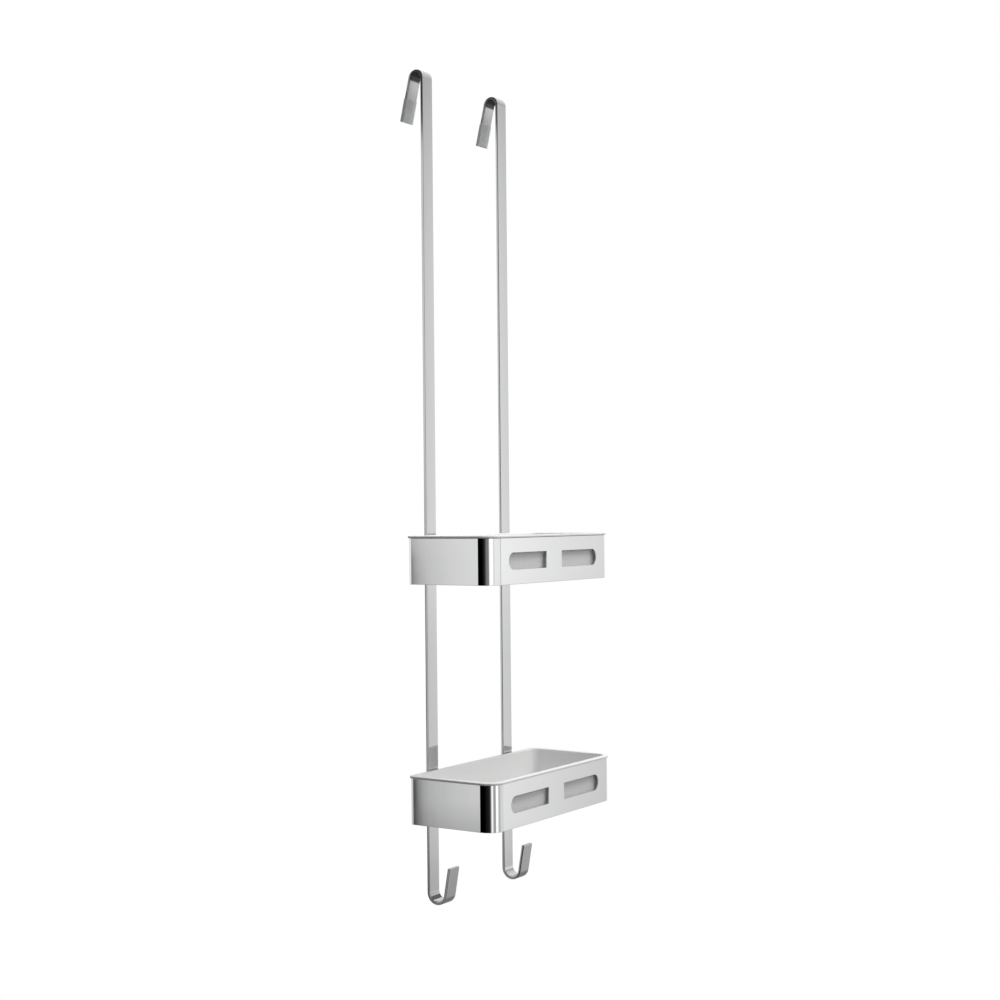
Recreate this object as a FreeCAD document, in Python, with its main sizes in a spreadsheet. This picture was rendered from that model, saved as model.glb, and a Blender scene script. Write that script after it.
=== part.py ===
"""Hanging shower caddy: two banded baskets with lift-out trays on two hooked rails.

Frame: X to the right, Y backwards through the glass screen, Z up, in millimetres. The origin lies midway
between the rails, on the top edge of the glass, under the middle of the two top hooks.
"""
import FreeCAD, Part
import math
import os
import Sketcher

SIZES = {
    # Baskets: the outside of a band, its sheet and the two slots in its front
    "basket_width": 250,
    "basket_depth": 110,
    "band_height": 50,
    "sheet_thickness": 1.5,
    "front_corner_radius": 18,
    "rear_corner_radius": 5,
    "slot_height": 18,
    "slot_inner_reach": 16,
    "slot_outer_reach": 92,
    # Heights below the top edge of the glass
    "lower_band_drop": 828,
    "basket_pitch": 260,
    "foot_drop": 923,
    # Rails: one flat bar each, hooked backwards at the top and forwards at the bottom
    "rail_width": 18,
    "rail_thickness": 3.5,
    "rail_spacing": 150,
    "rail_edge_round": 0.5,
    "crown_radius": 6.5,
    "crown_flare": 13.5,
    "crown_leg": 48.5,
    "coat_radius": 9.5,
    "coat_flare": 10,
    "coat_leg": 31,
    # Soft sleeves over the ends of the top hooks
    "sleeve_length": 26,
    "sleeve_wall": 0.6,
    "sleeve_edge_round": 0.6,
    # Trays: wall, floor and the flat rim that rests on the band
    "seat_gap": 0.2,
    "rim_thickness": 2.4,
    "rim_overhang": 1.5,
    "rim_edge_round": 0.8,
    "tray_inset": 1.8,
    "tray_wall": 1.6,
    "tray_depth": 42,
    "tray_floor": 2,
    "tray_draft": 4,
    "tray_rear_radius": 10,
    "tray_floor_round": 4,
    "drain_radius": 2.5,
    "drain_count": 7,
    "drain_span": 150,
    # Fixings behind each basket
    "rail_standoff": 4,
    "boss_radius": 5,
    "thread_core_radius": 2.4,
    "bar_length": 204,
    "bar_height": 20,
    "bar_thickness": 3,
    "bar_top": 49,
    "bar_corner_radius": 4,
    "low_screw_height": 10,
    "screw_radius": 2.5,
    "screw_hole_radius": 2.7,
    "screw_head_radius": 4.8,
    "screw_head_inset": 0.15,
    "countersink_radius": 5,
    "socket_radius": 1.73,
    "socket_depth": 1.9,
    "pad_radius": 5,
    "pad_thickness": 1.5,
    "pad_edge_round": 0.6,
    "pad_reach": 93,
}

# Distances that several sub-parts share, as formulas of the sheet
HALF_WIDTH = "Sizes.basket_width / 2"
HALF_DEPTH = "Sizes.basket_depth / 2"
HALF_SPACING = "Sizes.rail_spacing / 2"
BAND_REAR = "-(Sizes.crown_radius + Sizes.rail_thickness + Sizes.rail_standoff)"
RAIL_BACK = "Sizes.basket_depth / 2 + Sizes.rail_standoff + Sizes.rail_thickness"
BAR_BACK = RAIL_BACK + " + Sizes.bar_thickness"
HIGH_SCREW = "Sizes.bar_top - Sizes.bar_height / 2"
LOW_SCREW = "Sizes.low_screw_height"
BAND_DROPS = {
    "upper": "Sizes.lower_band_drop - Sizes.basket_pitch",
    "lower": "Sizes.lower_band_drop",
}
START, END, CENTRE = 1, 2, 3
ORIGIN = -1
UP_AXIS = -2

doc = FreeCAD.newDocument("shower_caddy")
sheet = doc.addObject("Spreadsheet::Sheet", "Sizes")
for row, (alias, value) in enumerate(SIZES.items(), start=1):
    sheet.set(f"A{row}", alias)
    sheet.set(f"B{row}", str(value))
    sheet.setAlias(f"B{row}", alias)
doc.recompute()


def new_body(label):
    """A PartDesign body whose label is the node's name."""
    body = doc.addObject("PartDesign::Body", label)
    body.Label = label
    return body


def origin_plane(body, role):
    """One of the body's own origin planes."""
    return next(feature for feature in body.Origin.OriginFeatures if feature.Role == role)


def new_sketch(body, name, role, offset=None):
    """A sketch on an origin plane of the body, moved along that plane's normal by a formula."""
    sketch = body.newObject("Sketcher::SketchObject", name)
    sketch.AttachmentSupport = [(origin_plane(body, role), "")]
    sketch.MapMode = "FlatFace"
    if offset:
        sketch.setExpression("AttachmentOffset.Base.z", offset)
    return sketch


def drive(sketch, kind, *arguments):
    """Add a dimension; its last argument is a formula, which also gives its first value."""
    *elements, formula = arguments
    value = float(sketch.evalExpression(formula))
    if kind == "Angle":
        value = math.radians(value)
        formula = f"({formula}) * 1 deg"
    index = sketch.addConstraint(Sketcher.Constraint(kind, *elements, value))
    sketch.setExpression(f"Constraints[{index}]", formula)


def fix(sketch, kind, *elements):
    """Add a geometric constraint."""
    sketch.addConstraint(Sketcher.Constraint(kind, *elements))


def line(sketch, start, end):
    """Add a line between two (x, y) points of the sketch."""
    ends = [FreeCAD.Vector(*point, 0) for point in (start, end)]
    return sketch.addGeometry(Part.LineSegment(*ends))


def arc(sketch, centre, radius, first, last):
    """Add an arc that turns anticlockwise between two angles in degrees."""
    circle = Part.Circle(FreeCAD.Vector(*centre, 0), FreeCAD.Vector(0, 0, 1), radius)
    return sketch.addGeometry(Part.ArcOfCircle(circle, math.radians(first), math.radians(last)))


def polygon(sketch, corners):
    """A closed polygon whose corners are pairs of formulas, all of them positive distances."""
    places = [[float(sketch.evalExpression(formula)) for formula in corner] for corner in corners]
    sides = [line(sketch, place, places[(i + 1) % len(places)]) for i, place in enumerate(places)]
    for i, (across, along) in enumerate(corners):
        fix(sketch, "Coincident", sides[i - 1], END, sides[i], START)
        drive(sketch, "DistanceX", ORIGIN, START, sides[i], START, across)
        drive(sketch, "DistanceY", ORIGIN, START, sides[i], START, along)


def circle(sketch, across, along, radius):
    """A circle whose place and radius are formulas."""
    centre = FreeCAD.Vector(*(float(sketch.evalExpression(formula)) for formula in (across, along)), 0)
    size = float(sketch.evalExpression(radius))
    ring = sketch.addGeometry(Part.Circle(centre, FreeCAD.Vector(0, 0, 1), size))
    drive(sketch, "DistanceX", ORIGIN, START, ring, CENTRE, across)
    if along == "0":
        fix(sketch, "PointOnObject", ring, CENTRE, ORIGIN)
    else:
        drive(sketch, "DistanceY", ORIGIN, START, ring, CENTRE, along)
    drive(sketch, "Radius", ring, radius)


def basket_outline(sketch, outset, front_radius, rear_radius):
    """The basket's plan outline, moved outwards by a formula: four sides and four corner arcs."""
    half_width = f"{HALF_WIDTH} + ({outset})"
    half_depth = f"{HALF_DEPTH} + ({outset})"
    formulas = (half_width, half_depth, front_radius, rear_radius)
    x, y, front, rear = (float(sketch.evalExpression(formula)) for formula in formulas)
    back_side = line(sketch, (rear - x, y), (x - rear, y))
    right_side = line(sketch, (x, y - rear), (x, front - y))
    front_side = line(sketch, (x - front, -y), (front - x, -y))
    left_side = line(sketch, (-x, front - y), (-x, y - rear))
    back_right = arc(sketch, (x - rear, y - rear), rear, 0, 90)
    front_right = arc(sketch, (x - front, front - y), front, 270, 360)
    front_left = arc(sketch, (front - x, front - y), front, 180, 270)
    back_left = arc(sketch, (rear - x, y - rear), rear, 90, 180)
    fix(sketch, "Tangent", back_side, END, back_right, END)
    fix(sketch, "Tangent", back_right, START, right_side, START)
    fix(sketch, "Tangent", right_side, END, front_right, END)
    fix(sketch, "Tangent", front_right, START, front_side, START)
    fix(sketch, "Tangent", front_side, END, front_left, END)
    fix(sketch, "Tangent", front_left, START, left_side, START)
    fix(sketch, "Tangent", left_side, END, back_left, END)
    fix(sketch, "Tangent", back_left, START, back_side, START)
    for side in (back_side, front_side):
        fix(sketch, "Horizontal", side)
    for side in (right_side, left_side):
        fix(sketch, "Vertical", side)
    fix(sketch, "Equal", front_right, front_left)
    fix(sketch, "Equal", back_right, back_left)
    drive(sketch, "Radius", front_right, front_radius)
    drive(sketch, "Radius", back_right, rear_radius)
    drive(sketch, "DistanceX", ORIGIN, START, right_side, START, half_width)
    drive(sketch, "DistanceX", left_side, START, ORIGIN, START, half_width)
    drive(sketch, "DistanceY", ORIGIN, START, back_side, START, half_depth)
    drive(sketch, "DistanceY", front_side, START, ORIGIN, START, half_depth)


def extrude(body, kind, name, sketch, length, reverse=False, symmetric=False, draft=None):
    """Pad or pocket a sketch by a formula; a pocket that removes nothing is an error."""
    before = body.Shape.Volume if body.Tip else 0.0
    feature = body.newObject(f"PartDesign::{kind}", name)
    feature.Profile = sketch
    feature.Reversed = reverse
    feature.setExpression("Length", length)
    if symmetric:
        feature.SideType = "Symmetric"
    if draft:
        feature.setExpression("TaperAngle", draft)
    doc.recompute()
    check_change(body, feature, before, grows=kind == "Pad")
    return feature


def check_change(body, feature, before, grows):
    """Stop if a feature left the body's volume as it was."""
    change = body.Shape.Volume - before
    if (change > 0) != grows:
        raise RuntimeError(f"{body.Label}: {feature.Name} changed the volume by {change:.3f}")


def mirror(body, *features):
    """Repeat features on the other side of the body's YZ plane."""
    copy = body.newObject("PartDesign::Mirrored", "Mirror")
    copy.Originals = list(features)
    copy.MirrorPlane = (origin_plane(body, "YZ_Plane"), [""])
    body.Tip = copy
    doc.recompute()
    return copy


def round_edges(body, name, radius, wanted):
    """Fillet the edges of the body's tip that a test picks."""
    tip = body.Tip
    names = [f"Edge{i}" for i, edge in enumerate(tip.Shape.Edges, start=1) if wanted(edge)]
    fillet = body.newObject("PartDesign::Fillet", name)
    fillet.Base = (tip, names)
    fillet.setExpression("Radius", radius)
    doc.recompute()
    return fillet


def lies_at_height(height):
    """A test for edges that lie flat at a height."""
    def test(edge):
        box = edge.BoundBox
        return box.ZLength < 1e-6 and abs(box.ZMin - height) < 1e-3
    return test


def countersunk_hole(body, sketch):
    """Countersunk clearance holes through the body, from the side that faces the glass."""
    before = body.Shape.Volume
    hole = body.newObject("PartDesign::Hole", "ScrewHole")
    hole.Profile = sketch
    hole.Reversed = True
    doc.recompute()
    hole.ThreadType = "None"
    hole.DepthType = "ThroughAll"
    hole.setExpression("Diameter", "Sizes.screw_hole_radius * 2")
    hole.HoleCutType = "Countersink"
    hole.HoleCutCustomValues = True
    hole.HoleCutCountersinkAngle = 90
    hole.setExpression("HoleCutDiameter", "Sizes.countersink_radius * 2")
    doc.recompute()
    check_change(body, hole, before, grows=False)
    return hole


def place_on_basket(body, level):
    """Basket pieces are drawn about the middle of the band's plan, at the band's lower edge."""
    body.setExpression("Placement.Base.y", f"{BAND_REAR} - {HALF_DEPTH}")
    body.setExpression("Placement.Base.z", f"-({BAND_DROPS[level]})")


def make_rail(side, sign):
    """A flat bar bent back over the glass at the top and forward into a coat hook at the bottom."""
    body = new_body(f"{side}_rail")
    body.setExpression("Placement.Base.x", f"{sign} * {HALF_SPACING}")
    sketch = new_sketch(body, "SideProfile", "YZ_Plane")
    inner_crown = SIZES["crown_radius"]
    inner_coat = SIZES["coat_radius"]
    thickness = SIZES["rail_thickness"]
    outer_crown = inner_crown + thickness
    outer_coat = inner_coat + thickness
    crown = FreeCAD.Vector(0, -inner_crown, 0)
    coat = FreeCAD.Vector(-inner_crown - outer_coat, outer_coat - SIZES["foot_drop"], 0)
    crown_angle = math.radians(SIZES["crown_flare"])
    coat_angle = math.radians(SIZES["coat_flare"])
    crown_out = FreeCAD.Vector(math.cos(crown_angle), math.sin(crown_angle), 0)
    crown_down = FreeCAD.Vector(math.sin(crown_angle), -math.cos(crown_angle), 0) * SIZES["crown_leg"]
    coat_out = FreeCAD.Vector(-math.cos(coat_angle), -math.sin(coat_angle), 0)
    coat_up = FreeCAD.Vector(-math.sin(coat_angle), math.cos(coat_angle), 0) * SIZES["coat_leg"]

    def leg(centre, radius, out, along):
        """Both ends of a leg's long edge: at its tip and where it meets its bend."""
        root = centre + out * radius
        tip = root + along
        return (tip.x, tip.y), (root.x, root.y)

    hook_outer_tip, hook_outer_root = leg(crown, outer_crown, crown_out, crown_down)
    hook_inner_tip, hook_inner_root = leg(crown, inner_crown, crown_out, crown_down)
    coat_outer_tip, coat_outer_root = leg(coat, outer_coat, coat_out, coat_up)
    coat_inner_tip, coat_inner_root = leg(coat, inner_coat, coat_out, coat_up)

    front = line(sketch, (-outer_crown, coat.y), (-outer_crown, crown.y))
    crown_top = arc(sketch, (crown.x, crown.y), outer_crown, SIZES["crown_flare"], 180)
    hook_outer = line(sketch, hook_outer_tip, hook_outer_root)
    hook_tip = line(sketch, hook_outer_tip, hook_inner_tip)
    hook_inner = line(sketch, hook_inner_tip, hook_inner_root)
    crown_under = arc(sketch, (crown.x, crown.y), inner_crown, SIZES["crown_flare"], 180)
    back = line(sketch, (-inner_crown, crown.y), (-inner_crown, coat.y))
    coat_under = arc(sketch, (coat.x, coat.y), outer_coat, 180 + SIZES["coat_flare"], 360)
    coat_outer = line(sketch, coat_outer_root, coat_outer_tip)
    coat_tip = line(sketch, coat_outer_tip, coat_inner_tip)
    coat_inner = line(sketch, coat_inner_tip, coat_inner_root)
    coat_top = arc(sketch, (coat.x, coat.y), inner_coat, 180 + SIZES["coat_flare"], 360)

    fix(sketch, "Tangent", front, END, crown_top, END)
    fix(sketch, "Tangent", crown_top, START, hook_outer, END)
    fix(sketch, "Coincident", hook_outer, START, hook_tip, START)
    fix(sketch, "Coincident", hook_tip, END, hook_inner, START)
    fix(sketch, "Tangent", hook_inner, END, crown_under, START)
    fix(sketch, "Tangent", crown_under, END, back, START)
    fix(sketch, "Tangent", back, END, coat_under, END)
    fix(sketch, "Tangent", coat_under, START, coat_outer, START)
    fix(sketch, "Coincident", coat_outer, END, coat_tip, START)
    fix(sketch, "Coincident", coat_tip, END, coat_inner, START)
    fix(sketch, "Tangent", coat_inner, END, coat_top, START)
    fix(sketch, "Tangent", coat_top, END, front, START)
    fix(sketch, "Coincident", crown_top, CENTRE, crown_under, CENTRE)
    fix(sketch, "Coincident", coat_top, CENTRE, coat_under, CENTRE)
    fix(sketch, "Perpendicular", hook_tip, hook_outer)
    fix(sketch, "Perpendicular", coat_tip, coat_outer)
    fix(sketch, "Parallel", hook_inner, hook_outer)
    fix(sketch, "Parallel", coat_inner, coat_outer)
    fix(sketch, "Vertical", front)
    fix(sketch, "PointOnObject", crown_top, CENTRE, UP_AXIS)
    drive(sketch, "Radius", crown_under, "Sizes.crown_radius")
    drive(sketch, "Radius", crown_top, "Sizes.crown_radius + Sizes.rail_thickness")
    drive(sketch, "Radius", coat_top, "Sizes.coat_radius")
    drive(sketch, "Radius", coat_under, "Sizes.coat_radius + Sizes.rail_thickness")
    drive(sketch, "DistanceY", crown_top, CENTRE, ORIGIN, START, "Sizes.crown_radius")
    drive(sketch, "DistanceY", coat_top, CENTRE, ORIGIN, START,
          "Sizes.foot_drop - Sizes.coat_radius - Sizes.rail_thickness")
    drive(sketch, "Angle", hook_outer, "90 + Sizes.crown_flare")
    drive(sketch, "Angle", coat_outer, "90 + Sizes.coat_flare")
    drive(sketch, "Distance", hook_outer, "Sizes.crown_leg")
    drive(sketch, "Distance", coat_outer, "Sizes.coat_leg")
    extrude(body, "Pad", "Bar", sketch, "Sizes.rail_width", symmetric=True)
    round_edges(body, "BarEdges", "Sizes.rail_edge_round", lambda edge: edge.BoundBox.XLength < 1e-6)
    drill_rail(body)


def drill_rail(body):
    """Plain holes behind the cross bars and countersunk ones for the screws without a bar."""
    rail_middle = "Sizes.crown_radius + Sizes.rail_thickness / 2"
    rail_back = "Sizes.crown_radius"
    plain = new_sketch(body, "BarScrewPlaces", "XZ_Plane", rail_middle)
    sunk = new_sketch(body, "RailScrewPlaces", "XZ_Plane", rail_back)
    for drop in BAND_DROPS.values():
        for sketch, height in ((plain, HIGH_SCREW), (sunk, LOW_SCREW)):
            place = FreeCAD.Vector(0, -float(sketch.evalExpression(f"{drop} - ({height})")), 0)
            size = SIZES["screw_hole_radius"]
            ring = sketch.addGeometry(Part.Circle(place, FreeCAD.Vector(0, 0, 1), size))
            fix(sketch, "PointOnObject", ring, CENTRE, UP_AXIS)
            drive(sketch, "DistanceY", ring, CENTRE, ORIGIN, START, f"{drop} - ({height})")
            drive(sketch, "Radius", ring, "Sizes.screw_hole_radius")
    extrude(body, "Pocket", "BarScrewHoles", plain, "Sizes.rail_thickness * 2", symmetric=True)
    countersunk_hole(body, sunk)


def make_sleeve(side, sign):
    """A soft cap over the end of a top hook, drawn along the leg from its tip."""
    body = new_body(f"{side}_hook_sleeve")
    middle = "(Sizes.crown_radius + Sizes.rail_thickness / 2)"
    body.setExpression("Placement.Base.x", f"{sign} * {HALF_SPACING}")
    body.setExpression("Placement.Base.y",
                       f"{middle} * cos(Sizes.crown_flare * 1 deg)"
                       " + Sizes.crown_leg * sin(Sizes.crown_flare * 1 deg)")
    body.setExpression("Placement.Base.z",
                       f"-Sizes.crown_radius + {middle} * sin(Sizes.crown_flare * 1 deg)"
                       " - Sizes.crown_leg * cos(Sizes.crown_flare * 1 deg)")
    body.setExpression("Placement.Rotation.Angle", "Sizes.crown_flare * 1 deg")
    body.Placement.Rotation.Axis = FreeCAD.Vector(1, 0, 0)
    outside = new_sketch(body, "Outside", "XY_Plane", "-Sizes.sleeve_wall")
    centred_rectangle(outside, "Sizes.rail_width / 2 + Sizes.sleeve_wall",
                      "Sizes.rail_thickness / 2 + Sizes.sleeve_wall")
    extrude(body, "Pad", "Cap", outside, "Sizes.sleeve_length + Sizes.sleeve_wall")
    round_edges(body, "CapEdges", "Sizes.sleeve_edge_round",
                lambda edge: edge.BoundBox.ZLength > SIZES["sleeve_length"])
    inside = new_sketch(body, "Inside", "XY_Plane", "Sizes.sleeve_length")
    centred_rectangle(inside, "Sizes.rail_width / 2", "Sizes.rail_thickness / 2")
    extrude(body, "Pocket", "Bore", inside, "Sizes.sleeve_length")


def centred_rectangle(sketch, half_width, half_height):
    """A rectangle about the sketch's origin."""
    x, y = (float(sketch.evalExpression(formula)) for formula in (half_width, half_height))
    corners = [(-x, -y), (x, -y), (x, y), (-x, y)]
    bottom, right, top, left = (line(sketch, corners[i], corners[(i + 1) % 4]) for i in range(4))
    for first, second in ((bottom, right), (right, top), (top, left), (left, bottom)):
        fix(sketch, "Coincident", first, END, second, START)
    for side in (bottom, top):
        fix(sketch, "Horizontal", side)
    for side in (left, right):
        fix(sketch, "Vertical", side)
    drive(sketch, "DistanceX", ORIGIN, START, right, START, half_width)
    drive(sketch, "DistanceX", left, START, ORIGIN, START, half_width)
    drive(sketch, "DistanceY", ORIGIN, START, top, START, half_height)
    drive(sketch, "DistanceY", bottom, START, ORIGIN, START, half_height)


def make_band(level):
    """A closed band of sheet with two slots in its front and four screw holes in its rear."""
    body = new_body(f"{level}_basket_band")
    place_on_basket(body, level)
    outside = new_sketch(body, "Outside", "XY_Plane")
    basket_outline(outside, "0", "Sizes.front_corner_radius", "Sizes.rear_corner_radius")
    extrude(body, "Pad", "Block", outside, "Sizes.band_height")
    inside = new_sketch(body, "Inside", "XY_Plane")
    basket_outline(inside, "-Sizes.sheet_thickness",
                   "Sizes.front_corner_radius - Sizes.sheet_thickness",
                   "Sizes.rear_corner_radius - Sizes.sheet_thickness")
    extrude(body, "Pocket", "Hollow", inside, "Sizes.band_height", reverse=True)

    slot = new_sketch(body, "SlotOutline", "XZ_Plane")
    middle = SIZES["band_height"] / 2
    radius = SIZES["slot_height"] / 2
    near = SIZES["slot_inner_reach"]
    far = SIZES["slot_outer_reach"] - radius
    square_end = line(slot, (near, middle + radius), (near, middle - radius))
    lower_side = line(slot, (near, middle - radius), (far, middle - radius))
    round_end = arc(slot, (far, middle), radius, -90, 90)
    upper_side = line(slot, (far, middle + radius), (near, middle + radius))
    fix(slot, "Coincident", square_end, END, lower_side, START)
    fix(slot, "Tangent", lower_side, END, round_end, START)
    fix(slot, "Tangent", round_end, END, upper_side, START)
    fix(slot, "Coincident", upper_side, END, square_end, START)
    fix(slot, "Vertical", square_end)
    fix(slot, "Horizontal", lower_side)
    fix(slot, "Horizontal", upper_side)
    drive(slot, "Radius", round_end, "Sizes.slot_height / 2")
    drive(slot, "DistanceX", ORIGIN, START, square_end, START, "Sizes.slot_inner_reach")
    drive(slot, "DistanceX", ORIGIN, START, round_end, CENTRE,
          "Sizes.slot_outer_reach - Sizes.slot_height / 2")
    drive(slot, "DistanceY", ORIGIN, START, round_end, CENTRE, "Sizes.band_height / 2")
    right_slot = extrude(body, "Pocket", "RightSlot", slot, "Sizes.basket_depth", reverse=True)

    holes = new_sketch(body, "ScrewPlaces", "XZ_Plane")
    for height in (HIGH_SCREW, LOW_SCREW):
        circle(holes, HALF_SPACING, height, "Sizes.screw_hole_radius")
    right_holes = extrude(body, "Pocket", "RightScrewHoles", holes, "Sizes.basket_depth")
    mirror(body, right_slot, right_holes)


def make_tray(level):
    """A drafted plastic tray whose flat rim rests on the band, with drain holes in its floor."""
    body = new_body(f"{level}_tray")
    place_on_basket(body, level)
    rim_base = "Sizes.band_height + Sizes.seat_gap"
    rim = new_sketch(body, "RimOutline", "XY_Plane", rim_base)
    basket_outline(rim, "Sizes.rim_overhang", "Sizes.front_corner_radius + Sizes.rim_overhang",
                   "Sizes.rear_corner_radius + Sizes.rim_overhang")
    extrude(body, "Pad", "Rim", rim, "Sizes.rim_thickness")
    rim_top = SIZES["band_height"] + SIZES["seat_gap"] + SIZES["rim_thickness"]
    round_edges(body, "RimEdge", "Sizes.rim_edge_round", lies_at_height(rim_top))

    shell = new_sketch(body, "ShellOutline", "XY_Plane", rim_base)
    basket_outline(shell, "-Sizes.tray_inset", "Sizes.front_corner_radius - Sizes.tray_inset",
                   "Sizes.tray_rear_radius")
    extrude(body, "Pad", "Shell", shell, "Sizes.tray_depth", reverse=True, draft="-Sizes.tray_draft")
    shell_bottom = SIZES["band_height"] + SIZES["seat_gap"] - SIZES["tray_depth"]
    round_edges(body, "ShellFoot", "Sizes.tray_floor_round + Sizes.tray_wall",
                lies_at_height(shell_bottom))

    hollow = new_sketch(body, "HollowOutline", "XY_Plane", f"{rim_base} + Sizes.rim_thickness")
    basket_outline(hollow, "-Sizes.tray_inset - Sizes.tray_wall",
                   "Sizes.front_corner_radius - Sizes.tray_inset - Sizes.tray_wall",
                   "Sizes.tray_rear_radius - Sizes.tray_wall")
    extrude(body, "Pocket", "Hollow", hollow,
            "Sizes.rim_thickness + Sizes.tray_depth - Sizes.tray_floor", draft="-Sizes.tray_draft")
    round_edges(body, "FloorEdge", "Sizes.tray_floor_round",
                lies_at_height(shell_bottom + SIZES["tray_floor"]))

    drain = new_sketch(body, "DrainPlace", "XY_Plane", rim_base)
    circle(drain, "Sizes.drain_span / 2", "0", "Sizes.drain_radius")
    first_drain = extrude(body, "Pocket", "Drain", drain, "Sizes.tray_depth * 2")
    drains = body.newObject("PartDesign::LinearPattern", "Drains")
    drains.Originals = [first_drain]
    drains.Direction = (drain, ["H_Axis"])
    drains.Reversed = True
    drains.setExpression("Length", "Sizes.drain_span")
    drains.setExpression("Occurrences", "Sizes.drain_count")
    body.Tip = drains
    doc.recompute()


def make_cross_bar(level):
    """A flat bar behind both rails, countersunk from the side that faces the glass."""
    body = new_body(f"{level}_cross_bar")
    place_on_basket(body, level)
    sketch = new_sketch(body, "Outline", "XZ_Plane", f"-({RAIL_BACK})")
    x = SIZES["bar_length"] / 2
    top = SIZES["bar_top"]
    bottom = top - SIZES["bar_height"]
    corners = [(-x, bottom), (x, bottom), (x, top), (-x, top)]
    lower, right, upper, left = (line(sketch, corners[i], corners[(i + 1) % 4]) for i in range(4))
    for first, second in ((lower, right), (right, upper), (upper, left), (left, lower)):
        fix(sketch, "Coincident", first, END, second, START)
    for side in (lower, upper):
        fix(sketch, "Horizontal", side)
    for side in (left, right):
        fix(sketch, "Vertical", side)
    drive(sketch, "DistanceX", ORIGIN, START, right, START, "Sizes.bar_length / 2")
    drive(sketch, "DistanceX", left, START, ORIGIN, START, "Sizes.bar_length / 2")
    drive(sketch, "DistanceY", ORIGIN, START, lower, START, "Sizes.bar_top - Sizes.bar_height")
    drive(sketch, "DistanceY", ORIGIN, START, upper, START, "Sizes.bar_top")
    extrude(body, "Pad", "Bar", sketch, "Sizes.bar_thickness", reverse=True)
    round_edges(body, "Corners", "Sizes.bar_corner_radius",
                lambda edge: edge.BoundBox.XLength < 1e-6 and edge.BoundBox.ZLength < 1e-6)
    place = new_sketch(body, "ScrewPlace", "XZ_Plane", f"-({BAR_BACK})")
    circle(place, HALF_SPACING, HIGH_SCREW, "Sizes.screw_hole_radius")
    hole = countersunk_hole(body, place)
    mirror(body, hole)


def make_bosses(level):
    """Four threaded bosses welded to the rear of the band, which hold it off the rails."""
    body = new_body(f"{level}_bosses")
    place_on_basket(body, level)
    sketch = new_sketch(body, "Outline", "XZ_Plane", f"-({HALF_DEPTH})")
    for height in (HIGH_SCREW, LOW_SCREW):
        circle(sketch, HALF_SPACING, height, "Sizes.boss_radius")
        circle(sketch, HALF_SPACING, height, "Sizes.thread_core_radius")
    right = extrude(body, "Pad", "RightBosses", sketch, "Sizes.rail_standoff", reverse=True)
    mirror(body, right)


def make_screws(level, kind, head_back, height):
    """Two countersunk screws with hexagon sockets, from the glass side into the bosses."""
    body = new_body(f"{level}_{kind}_screws")
    place_on_basket(body, level)
    sketch = new_sketch(body, "HalfProfile", "YZ_Plane", HALF_SPACING)
    head = f"{head_back} - Sizes.screw_head_inset"
    neck = f"{head} - Sizes.screw_head_radius + Sizes.screw_radius"
    tip = f"{HALF_DEPTH} - Sizes.sheet_thickness"
    polygon(sketch, [
        (tip, height),
        (head, height),
        (head, f"{height} + Sizes.screw_head_radius"),
        (neck, f"{height} + Sizes.screw_radius"),
        (tip, f"{height} + Sizes.screw_radius"),
    ])
    turned = body.newObject("PartDesign::Revolution", "Turned")
    turned.Profile = sketch
    turned.ReferenceAxis = (sketch, ["Edge1"])
    turned.Angle = 360
    doc.recompute()
    socket = new_sketch(body, "Socket", "XZ_Plane", f"-({head})")
    polygon(socket, [
        (f"{HALF_SPACING} + Sizes.socket_radius * cos({60 * i} deg)",
         f"{height} + Sizes.socket_radius * sin({60 * i} deg)")
        for i in range(6)
    ])
    cut = extrude(body, "Pocket", "SocketCut", socket, "Sizes.socket_depth", reverse=True)
    mirror(body, turned, cut)


def make_glass_pads(level):
    """Two soft pads on the back of the cross bar, which rest on the glass."""
    body = new_body(f"{level}_glass_pads")
    place_on_basket(body, level)
    sketch = new_sketch(body, "Outline", "XZ_Plane", f"-({BAR_BACK})")
    circle(sketch, "Sizes.pad_reach", HIGH_SCREW, "Sizes.pad_radius")
    extrude(body, "Pad", "RightPad", sketch, "Sizes.pad_thickness", reverse=True)
    right = body.Tip
    edge = round_edges(body, "PadEdge", "Sizes.pad_edge_round",
                       lambda edge: edge.BoundBox.YLength < 1e-6
                       and abs(edge.BoundBox.YMax - right.Shape.BoundBox.YMax) < 1e-6)
    mirror(body, right, edge)


for side, sign in (("left", -1), ("right", 1)):
    make_rail(side, sign)
    make_sleeve(side, sign)
for level in BAND_DROPS:
    make_band(level)
    make_tray(level)
    make_cross_bar(level)
    make_bosses(level)
    make_screws(level, "bar", BAR_BACK, HIGH_SCREW)
    make_screws(level, "rail", RAIL_BACK, LOW_SCREW)
    make_glass_pads(level)
doc.recompute()

for item in doc.Objects:
    if {"Invalid", "Error"} & set(item.State):
        raise RuntimeError(f"{item.Label} failed: {item.State}")

os.makedirs("parts", exist_ok=True)
bodies = [item for item in doc.Objects if item.TypeId == "PartDesign::Body"]
for body in bodies:
    if body.Shape.isNull() or not body.Shape.isValid():
        raise RuntimeError(f"{body.Label} has no valid shape")
for body in bodies:
    body.Shape.exportStep(f"parts/{body.Label}.step")
    print(f"{body.Label}: {len(body.Shape.Solids)} solid(s), {body.Shape.Volume / 1000:.2f} cm3")
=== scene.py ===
"""The looks of the hanging shower caddy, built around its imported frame.

Metres. X to the right, Y backwards through the glass screen, Z up; the origin lies on the top edge of the
glass, midway between the rails. Every piece is made of rings of points that are joined with quads, and of
flat panels that are filled around their holes.
"""
import math

import bmesh
import bpy
from mathutils import Matrix, Vector


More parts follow.
